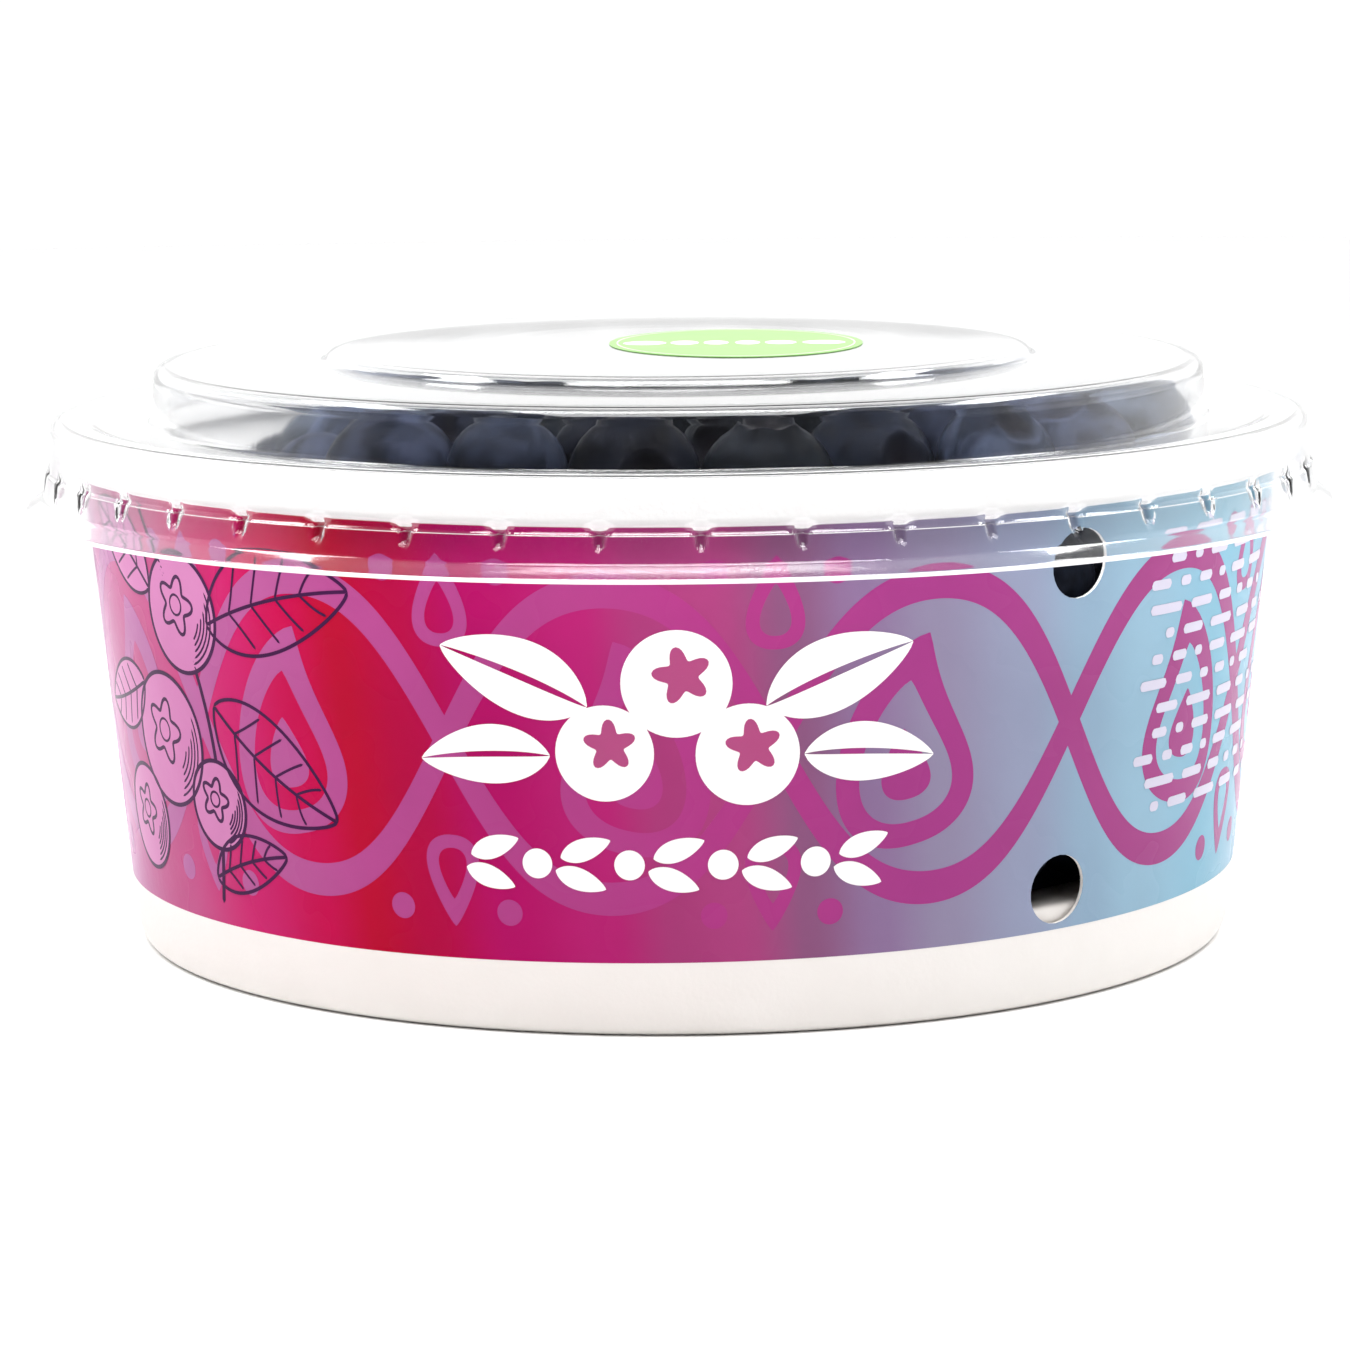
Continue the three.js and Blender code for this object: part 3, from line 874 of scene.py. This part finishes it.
def spins(draws):
    """Turning matrices from three draws each, by evenly spread unit quaternions."""
    a, b, c = draws.T
    w = np.sqrt(1 - a) * np.sin(TURN * b)
    x = np.sqrt(1 - a) * np.cos(TURN * b)
    y = np.sqrt(a) * np.sin(TURN * c)
    z = np.sqrt(a) * np.cos(TURN * c)
    return np.stack([
        np.stack([1 - 2 * (y * y + z * z), 2 * (x * y - z * w), 2 * (x * z + y * w)], -1),
        np.stack([2 * (x * y + z * w), 1 - 2 * (x * x + z * z), 2 * (y * z - x * w)], -1),
        np.stack([2 * (x * z - y * w), 2 * (y * z + x * w), 1 - 2 * (x * x + y * y)], -1),
    ], 1)


def berry_heap(places, radius, draws):
    """Many berries as one mesh: each is the form times its radius, turned, and moved to its place."""
    form, quads, fans, crown = berry_form()
    bodies = np.einsum("nij,vj->nvi", spins(draws[:, :3]), form) * radius[:, None, None]
    points = (bodies + places[:, None]).reshape(-1, 3) * MM
    starts = (np.arange(len(places)) * len(form))[:, None, None]
    faces = list((quads[None] + starts).reshape(-1, 4)) + list((fans[None] + starts).reshape(-1, 3))
    # The bloom's share: partly drawn at random, and partly painted shade that keeps the bloom off berries
    # near the middle and low in the heap, so these look darker.
    bloom_and_painted_shade = 0.15 * draws[:, 3] + 0.85 * np.clip((np.abs(places[:, 0] - 2) - 16) / 26, 0, 1)
    bloom_and_painted_shade *= np.clip((places[:, 2] - 46) / 8, 0, 1)
    marks = {"bloom_and_painted_shade": np.repeat(bloom_and_painted_shade, len(form)), "crown": np.tile(crown, len(places))}
    return points, faces, marks


def painted_shade_core():
    """The dark body under the berries, painted shade that stands in for the shaded berries deeper down: an
    outline carried round Z, lower where the heap falls away.
    """
    top, foot = HEAP_TOP - 2.1 * BERRY_RADIUS, BASE_TOP + 0.4
    corners = [(0, top, 0), (30, top - 1, 8), (50, top - 6, 5), (57, 22, 4), (61, foot, 0.5), (0, foot, 0)]
    outline = refined(rounded(corners, 5), 4.0)[::-1]
    columns = 120
    azimuths = TURN * np.arange(columns) / columns
    points = turned(outline[1:-1, :1], azimuths[None], outline[1:-1, 1:]).reshape(-1, 3)
    lean = np.clip(HEAP_EDGE * MM - points[:, 0], 0, 1) * HEAP_FALL
    points[:, 2] = np.maximum(points[:, 2] - lean, foot * MM)
    low, high = outline[0, 1] * MM, outline[-1, 1] * MM
    points, quads, fans = close_poles(points, len(outline) - 2, columns, low, high)
    marks = {"bloom_and_painted_shade": np.zeros(len(points)), "crown": np.zeros(len(points))}
    return points, [*quads, *fans], marks


def shown_berries(places, radius):
    """The berries that can be seen: the upper layers, and those behind the vents."""
    azimuth, height = (m.reshape(-1) for m in np.meshgrid(np.radians(VENT_AZIMUTHS), VENT_HEIGHTS))
    vents = turned(cone_radius(height), azimuth, height) / MM
    away = np.linalg.norm(places[:, None] - vents[None], axis=-1)
    return (away.min(1) < 24) | (places[:, 2] + radius > heap_limit(places[:, 0]) - 15)


# Materials

def paint(code):
    """A linear colour from a six-digit code of the colour as it is seen."""
    seen = np.array([int(code[k:k + 2], 16) for k in (0, 2, 4)]) / 255
    linear = np.where(seen <= 0.04045, seen / 12.92, ((seen + 0.055) / 1.055) ** 2.4)
    return (*linear.tolist(), 1.0)


def feed(tree, made, inputs):
    """Gives a node's inputs, by name or number, a plain value or another node's output."""
    for key, value in inputs.items():
        if isinstance(value, bpy.types.NodeSocket):
            tree.links.new(value, made.inputs[key])
        else:
            made.inputs[key].default_value = value


def node(tree, kind, inputs=None, **properties):
    """A shader node with its properties set and its inputs fed."""
    made = tree.nodes.new(kind)
    for key, value in properties.items():
        setattr(made, key, value)
    feed(tree, made, inputs or {})
    return made


def math_node(tree, operation, *values):
    """The result of a sum, a product or the like."""
    return node(tree, "ShaderNodeMath", dict(enumerate(values)), operation=operation).outputs[0]


def mixed(tree, factor, first, second, blend="MIX"):
    """A colour between two, by a factor."""
    inputs = {0: factor, 6: first, 7: second}
    return node(tree, "ShaderNodeMix", inputs, data_type="RGBA", blend_type=blend).outputs[2]


def noise(tree, scale, detail=2.0, distortion=0.0):
    """Smooth noise from 0 to 1 over a piece's own places."""
    where = node(tree, "ShaderNodeTexCoord").outputs["Object"]
    inputs = {"Vector": where, "Scale": scale, "Detail": detail, "Distortion": distortion}
    return node(tree, "ShaderNodeTexNoise", inputs).outputs["Fac"]


def place_parts(tree, kind="Object"):
    """The X, Y and Z of a piece's own places, or in the surround of the direction."""
    where = node(tree, "ShaderNodeTexCoord").outputs[kind]
    return node(tree, "ShaderNodeSeparateXYZ", {"Vector": where}).outputs


def between(tree, value, low, high, start=0.0, end=1.0):
    """A number that goes from start to end while a value goes from low to high."""
    return node(tree, "ShaderNodeMapRange", {0: value, 1: low, 2: high, 3: start, 4: end}).outputs[0]


def marked(tree, mark):
    """A number that is kept on the mesh, point by point."""
    return node(tree, "ShaderNodeAttribute", attribute_name=mark).outputs["Fac"]


def ramp(tree, factor, stops, mode="LINEAR"):
    """A colour that changes with a factor along stops (place, colour)."""
    made = node(tree, "ShaderNodeValToRGB", {"Fac": factor})
    made.color_ramp.interpolation = mode
    marks = made.color_ramp.elements
    while len(marks) < len(stops):
        marks.new(1.0)
    for mark, (place, colour) in zip(marks, stops):
        mark.position = place
        mark.color = colour
    return made.outputs["Color"]


def new_group(name, inputs, outputs):
    """A shader node group of numbers, from its inputs' defaults by name and its outputs' names."""
    group = bpy.data.node_groups.new(name, "ShaderNodeTree")
    for label, default in inputs.items():
        socket = group.interface.new_socket(label, in_out="INPUT", socket_type="NodeSocketFloat")
        socket.default_value = default
    for label in outputs:
        group.interface.new_socket(label, in_out="OUTPUT", socket_type="NodeSocketFloat")
    return group, group.nodes.new("NodeGroupInput").outputs, group.nodes.new("NodeGroupOutput")


def fibre_group():
    """The fine uneven surface of coated board: short fibres and soft mottling."""
    group, given, out = new_group("board_fibre", {"Scale": 900.0}, ("Height", "Mottle"))
    broad = math_node(group, "MULTIPLY", given["Scale"], 0.08)
    feed(group, out, {"Height": noise(group, given["Scale"], 4.0), "Mottle": noise(group, broad)})
    return group


def azimuth_group():
    """Places round the wall from 0 to 1, from behind on the left to behind on the right.

    The sway is how far the places shift between the foot and the rim.
    """
    group, given, out = new_group("round_the_wall", {"Sway": 0.0}, ("Round",))
    parts = place_parts(group)
    angle = math_node(group, "ARCTAN2", parts["X"], math_node(group, "MULTIPLY", parts["Y"], -1.0))
    round_share = math_node(group, "ADD", math_node(group, "DIVIDE", angle, TURN), 0.5)
    up = math_node(group, "SUBTRACT", math_node(group, "DIVIDE", parts["Z"], 0.06), 0.5)
    sway = math_node(group, "MULTIPLY", given["Sway"], up)
    feed(group, out, {"Round": math_node(group, "ADD", round_share, sway)})
    return group


def surface(name, **plain):
    """A material, its nodes and its surface shader, with plain values by the inputs' names."""
    material = bpy.data.materials.new(name)
    material.use_nodes = True
    tree = material.node_tree
    shader = tree.nodes["Principled BSDF"]
    feed(tree, shader, {key.replace("_", " "): value for key, value in plain.items()})
    return material, tree, shader


def board_relief(tree, shader, fibre, scale=900.0, distance=0.00002):
    """Lets the board's fibres feed a bump, and gives the mottling back."""
    made = node(tree, "ShaderNodeGroup", node_tree=fibre)
    feed(tree, made, {"Scale": scale})
    bump = node(tree, "ShaderNodeBump", {"Height": made.outputs["Height"], "Distance": distance})
    feed(tree, shader, {"Normal": bump.outputs["Normal"]})
    return made.outputs["Mottle"]


def board_material(fibre):
    """White coated board: warm white at the foot, whiter up at the rim as painted light that makes up for
    the light the lid holds back, a little mottled.
    """
    material, tree, shader = surface("white_board", Roughness=0.5, IOR=1.45)
    mottle = board_relief(tree, shader, fibre, 1400.0, 0.00003)
    foot = mixed(tree, mottle, paint("E6E1DC"), paint("EEEAE6"))
    rim = mixed(tree, mottle, paint("FBFAF8"), paint("FFFEFD"))
    # Painted light: from 20 mm up to 50 mm the board turns to the whiter rim colours.
    high = between(tree, place_parts(tree)["Z"], 0.02, 0.05)
    rough = math_node(tree, "MULTIPLY_ADD", mottle, 0.2, 0.4)
    feed(tree, shader, {"Base Color": mixed(tree, high, foot, rim), "Roughness": rough})
    return material


GROUND_STOPS = (
    (0.000, "A83C8A"), (0.060, "86AACC"), (0.130, "82BCD2"), (0.200, "9F92BE"), (0.270, "B860A0"),
    (0.335, "C04C86"), (0.372, "CC1C6C"), (0.396, "C8004E"), (0.412, "BC0030"), (0.430, "B60042"),
    (0.452, "B40864"), (0.478, "B82072"), (0.495, "AA3C78"), (0.512, "B04480"), (0.530, "8E5880"),
    (0.548, "90749C"), (0.567, "958CA8"), (0.592, "99A0BA"), (0.614, "94B0C6"), (0.633, "9ABED2"),
    (0.680, "84BCD2"), (0.760, "74A8CA"), (0.850, "9070AA"), (0.930, "B03C80"), (1.000, "A83C8A"),
)


GLARE = {"Specular_IOR_Level": 0.05, "Sheen_Weight": 0.26, "Sheen_Roughness": 0.26}


def printed(name, fibre, round_wall, stops, sway):
    """Glossy ink whose colour changes round the wall."""
    material, tree, shader = surface(name, **GLARE)
    mottle = board_relief(tree, shader, fibre)
    where = node(tree, "ShaderNodeGroup", node_tree=round_wall)
    feed(tree, where, {"Sway": sway})
    ink = ramp(tree, where.outputs["Round"], [(place, paint(code)) for place, code in stops], "EASE")
    patches = math_node(tree, "MULTIPLY_ADD", mottle, 0.3, 0.25)
    patchy = mixed(tree, patches, ink, paint("CAC6CA"), "MULTIPLY")
    rough = math_node(tree, "MULTIPLY_ADD", mottle, 0.14, 0.2)
    feed(tree, shader, {"Base Color": patchy, "Roughness": rough})
    return material


def plain_ink(name, fibre, low, high, roughness, **plain):
    """Ink of nearly one colour, a little thin in places."""
    material, tree, shader = surface(name, Roughness=roughness, **plain)
    mottle = board_relief(tree, shader, fibre)
    feed(tree, shader, {"Base Color": mixed(tree, mottle, paint(low), paint(high))})
    return material


def clear_material():
    """Clear formed sheet that lets lamps through, with roughness that varies a little, and painted shade in
    the lugs' grooves.
    """
    material, tree, shader = surface(
        "clear_sheet", IOR=1.57, Transmission_Weight=1.0, Sheen_Weight=0.4, Sheen_Roughness=0.32,
    )
    # Painted shade: the tint darkens to grey-mauve where the groove mark lies, in the lugs' grooves.
    tint = mixed(tree, marked(tree, "groove"), (0.968, 0.972, 0.976, 1.0), (0.6, 0.56, 0.6, 1.0))
    rough = math_node(tree, "MULTIPLY_ADD", noise(tree, 35.0, 3.0), 0.06, 0.02)
    feed(tree, shader, {"Base Color": tint, "Roughness": rough})
    lamp = node(tree, "ShaderNodeLightPath").outputs["Is Shadow Ray"]
    clear = node(tree, "ShaderNodeBsdfTransparent")
    mix = node(tree, "ShaderNodeMixShader", {0: lamp, 1: shader.outputs[0], 2: clear.outputs[0]})
    feed(tree, tree.nodes["Material Output"], {"Surface": mix.outputs[0]})
    return material


def berry_material(name, dark, bloom, amount):
    """Berry skin: nearly black under a blue-grey bloom that is rubbed off in patches, and held back where a
    mark on the mesh paints shade.
    """
    material, tree, shader = surface(name, Specular_IOR_Level=0.05, IOR=1.3)
    specks = noise(tree, 1500.0)
    rubbed = between(tree, noise(tree, 190.0, 3.0, 0.6), 0.38, 0.62, 0.25, 1.0)
    share = math_node(tree, "MULTIPLY", rubbed, math_node(tree, "ADD", marked(tree, "bloom_and_painted_shade"), amount))
    share = math_node(tree, "MULTIPLY", share, math_node(tree, "MULTIPLY_ADD", specks, 0.5, 0.7))
    skin = mixed(tree, share, paint(dark), paint(bloom))
    crown = math_node(tree, "MULTIPLY", marked(tree, "crown"), 0.7)
    bump = node(tree, "ShaderNodeBump", {"Height": specks, "Distance": 0.00006, "Strength": 0.6})
    feed(tree, shader, {
        "Base Color": mixed(tree, crown, skin, paint("120F13")),
        "Roughness": math_node(tree, "MULTIPLY_ADD", share, 0.35, 0.32),
        "Normal": bump.outputs["Normal"],
    })
    return material


# The scene

def build_bowl(fibre, round_wall):
    """The bowl, its base and the print's ground, whose ink is given back."""
    board = board_material(fibre)
    section, outer_rows, inner_rows = bowl_section()
    points, faces = vented(section, outer_rows, inner_rows, (0.0, -BOARD))
    make_piece("board_bowl", points, faces, board, "board", ["bowl"], crease=0.7)
    make_piece("recessed_base", *base_mesh(), board, "board", ["bowl_base"], crease=0.7)
    ground = printed("ground_print", fibre, round_wall, GROUND_STOPS, 0.012)
    section, outer_rows, inner_rows = print_section()
    points, faces = vented(section, outer_rows, inner_rows, (PRINT_LIFT, PRINT_LIFT / 4))
    make_piece("ground_colour", points, faces, ground, "print", ["printed_band"], crease=0.7)
    return ground


def build_print(fibre, round_wall, ground):
    """The inks that lie on the print's ground."""
    motif_stops = (
        (0.00, "B04C96"), (0.20, "A85A9C"), (0.33, "B86CA4"), (0.38, "BA5C9A"), (0.42, "B64C90"),
        (0.47, "B24288"), (0.51, "B43C88"), (0.56, "A83E88"), (0.62, "A84788"), (0.80, "A64A92"),
        (1.00, "B04C96"),
    )
    motif = printed("motif_print", fibre, round_wall, motif_stops, 0.0)
    tint = plain_ink("sprig_tint", fibre, "BA6CA0", "C880B0", 0.3, **GLARE)
    line = plain_ink("line_ink", fibre, "340E38", "441848", 0.35, **GLARE)
    white = plain_ink("white_ink", fibre, "F6EFEE", "FBF6F5", 0.35)
    pale = plain_ink("pale_ink", fibre, "BEB9CC", "CCC7D8", 0.35)
    star = plain_ink("star_ink", fibre, "9C1F66", "AA2C72", 0.3)
    for name, parts, ink in (
        ("crossing_waves", wave_parts(), motif),
        ("large_drops", drop_parts(), motif),
        ("drop_gaps", drop_gap_parts(), ground),
        ("drop_hearts", large_drops(MOTIF_LIFT + 3 * INK_LAYER, 5.3), motif),
        ("sprig_tint", sprig_fill_parts(), tint),
        ("sprig_lines", sprig_line_parts(), line),
        ("emblem", emblem_parts(), white),
        ("emblem_stars", emblem_star_parts(), star),
        ("white_border", border_parts(), white),
        ("pale_bars", bar_parts(), pale),
    ):
        make_piece(name, *gather(parts), ink, "print", crease=0.7)


def build_lid(fibre):
    """The lid, its cut edge and its sticker."""
    points, faces, shade = lid_mesh()
    # The groove mark carries the shade painted into the lugs' grooves.
    clear, marks = clear_material(), {"groove": shade}
    make_piece("clear_lid", points, faces, clear, "clear_plastic", ["lid"], marks=marks)
    # Painted highlight: the cut edge is opaque white, for the bright line that light makes along the brim.
    edge = plain_ink("painted_edge_highlight", fibre, "F4F6F7", "FFFFFF", 0.3)
    make_piece("brim_edge", *lip_mesh(), edge, "clear_plastic", ["lid"])
    green = plain_ink("sticker_green", fibre, "84C45A", "90CC66", 0.4)
    white = plain_ink("sticker_white", fibre, "F4FBEE", "FFFFFF", 0.4)
    sheet = sticker_sheet(0.02, 0.1, *oval_places(STICKER_MIDDLE, STICKER_HALF))
    make_piece("green_sticker", *sheet, green, "sticker_paper", ["sticker"], crease=0.7)
    make_piece("sticker_marks", *gather(sticker_marks()), white, "sticker_paper", crease=0.7)


def build_berries():
    """The berries that can be seen, in three kinds by turns, over a dark core of painted shade."""
    places, radius = packed_berries()
    shown = shown_berries(places, radius)
    places, radius = places[shown], radius[shown]
    draws = drawn(SPIN_SEED, 4 * len(places)).reshape(-1, 4)
    kinds = (
        ("bloomed_berries", "050608", "545C6C", 0.02),
        ("dark_berries", "040405", "40465A", 0.01),
        ("blue_berries", "06070B", "4C546A", 0.02),
    )
    for k, (name, dark, bloom, amount) in enumerate(kinds):
        some = slice(k, None, len(kinds))
        points, faces, marks = berry_heap(places[some], radius[some], draws[some])
        skin = berry_material(name + "_skin", dark, bloom, amount)
        make_piece(name, points, faces, skin, "berry_skin", ["blueberries"], marks=marks)
    points, faces, marks = painted_shade_core()
    # Painted shade: the core is coloured as berries deep in shade.
    depth = berry_material("painted_heap_shade", "08090F", "20283A", 0.2)
    make_piece("painted_shade_core", points, faces, depth, "berry_skin", ["blueberries"], marks=marks)


def build_floor():
    """A round white floor, a shade greyer well behind the pack; beyond it the surround shows."""
    turn = TURN * np.arange(128) / 128
    rim = np.stack([FLOOR_RADIUS * np.cos(turn), FLOOR_RADIUS * np.sin(turn), 0 * turn], -1)
    mesh = bpy.data.meshes.new("floor")
    mesh.from_pydata(rim.tolist(), [], [list(range(128))])
    material, tree, shader = surface("pale_floor", Roughness=0.9, Specular_IOR_Level=0.1)
    soft = noise(tree, 2.0)
    near = mixed(tree, soft, paint("FAFAFA"), paint("FDFDFD"))
    far = mixed(tree, soft, paint("C4C4C4"), paint("C7C7C7"))
    behind = between(tree, place_parts(tree)["Y"], 0.12, 0.34)
    feed(tree, shader, {"Base Color": mixed(tree, behind, near, far)})
    mesh.materials.append(material)
    floor = bpy.data.objects.new("floor", mesh)
    bpy.context.scene.collection.objects.link(floor)


def add_light(name, place, target, size, radiance):
    """A soft rectangular light of a given brightness, whose power is radiance times pi times area."""
    data = bpy.data.lights.new(name, "AREA")
    data.shape = "RECTANGLE"
    data.size, data.size_y = size
    data.energy = radiance * np.pi * size[0] * size[1]
    light = bpy.data.objects.new(name, data)
    light.location = place
    light.rotation_euler = (Vector(target) - Vector(place)).to_track_quat("-Z", "Y").to_euler()
    bpy.context.scene.collection.objects.link(light)


def build_lights():
    """A broad light from above the camera, a narrow one overhead, and a white surround.

    The surround is bright behind the pack, dim above it and nearly dark on the camera's side.
    """
    middle = (0, 0, 0.04)
    add_light("broad_light", (0.0, -4.4, 7.9), middle, (7.0, 4.0), 4.7)
    add_light("overhead_light", (0.0, -1.2, 8.0), middle, (6.4, 1.8), 11.0)
    add_light("left_strip", (-5.6, 2.0, 7.4), middle, (5.6, 1.8), 9.0)
    add_light("right_strip", (5.6, 2.0, 7.4), middle, (5.6, 1.8), 9.0)
    world = bpy.data.worlds.new("soft_surround")
    bpy.context.scene.world = world
    world.use_nodes = True
    tree = world.node_tree
    parts = place_parts(tree, "Generated")
    stops = (
        (0.0, 0.44), (0.03, 0.38), (0.06, 0.4), (0.085, 0.63),
        (0.2, 0.72), (0.34, 0.62), (0.55, 0.45), (0.8, 0.2),
    )
    band = [(z, (s, s, s, 1.0)) for z, s in stops]
    above = math_node(tree, "MULTIPLY", ramp(tree, parts["Z"], band), 2.4)
    ahead = between(tree, parts["Y"], -0.45, 0.3, 0.02, 1.0)
    strength = math_node(tree, "MULTIPLY", above, ahead)
    feed(tree, tree.nodes["Background"], {"Strength": strength, "Color": (1, 1, 1, 1)})


def build_camera():
    """The camera: pitched down, hardly turned, and rolled a little, as the photograph was taken."""
    pitch, yaw, roll = CAMERA_PITCH, CAMERA_YAW, CAMERA_ROLL
    forward = np.array([np.sin(yaw) * np.cos(pitch), np.cos(yaw) * np.cos(pitch), -np.sin(pitch)])
    level = np.array([np.cos(yaw), -np.sin(yaw), 0])
    upright = np.cross(level, forward)
    right = np.cos(roll) * level + np.sin(roll) * upright
    up = np.cos(roll) * upright - np.sin(roll) * level
    data = bpy.data.cameras.new("camera")
    data.sensor_fit = "HORIZONTAL"
    data.sensor_width = 36.0
    data.lens = CAMERA_LENS
    data.clip_start = 0.01
    camera = bpy.data.objects.new("camera", data)
    basis = np.stack([right, up, -forward], 1)
    camera.matrix_world = Matrix.Translation(CAMERA_PLACE) @ Matrix(basis.tolist()).to_4x4()
    bpy.context.scene.collection.objects.link(camera)
    bpy.context.scene.camera = camera


build_camera()
build_lights()
build_floor()
board_fibre = fibre_group()
wall_places = azimuth_group()
ground_print = build_bowl(board_fibre, wall_places)
build_print(board_fibre, wall_places, ground_print)
build_lid(board_fibre)
build_berries()
bpy.context.scene.view_settings.view_transform = "Standard"
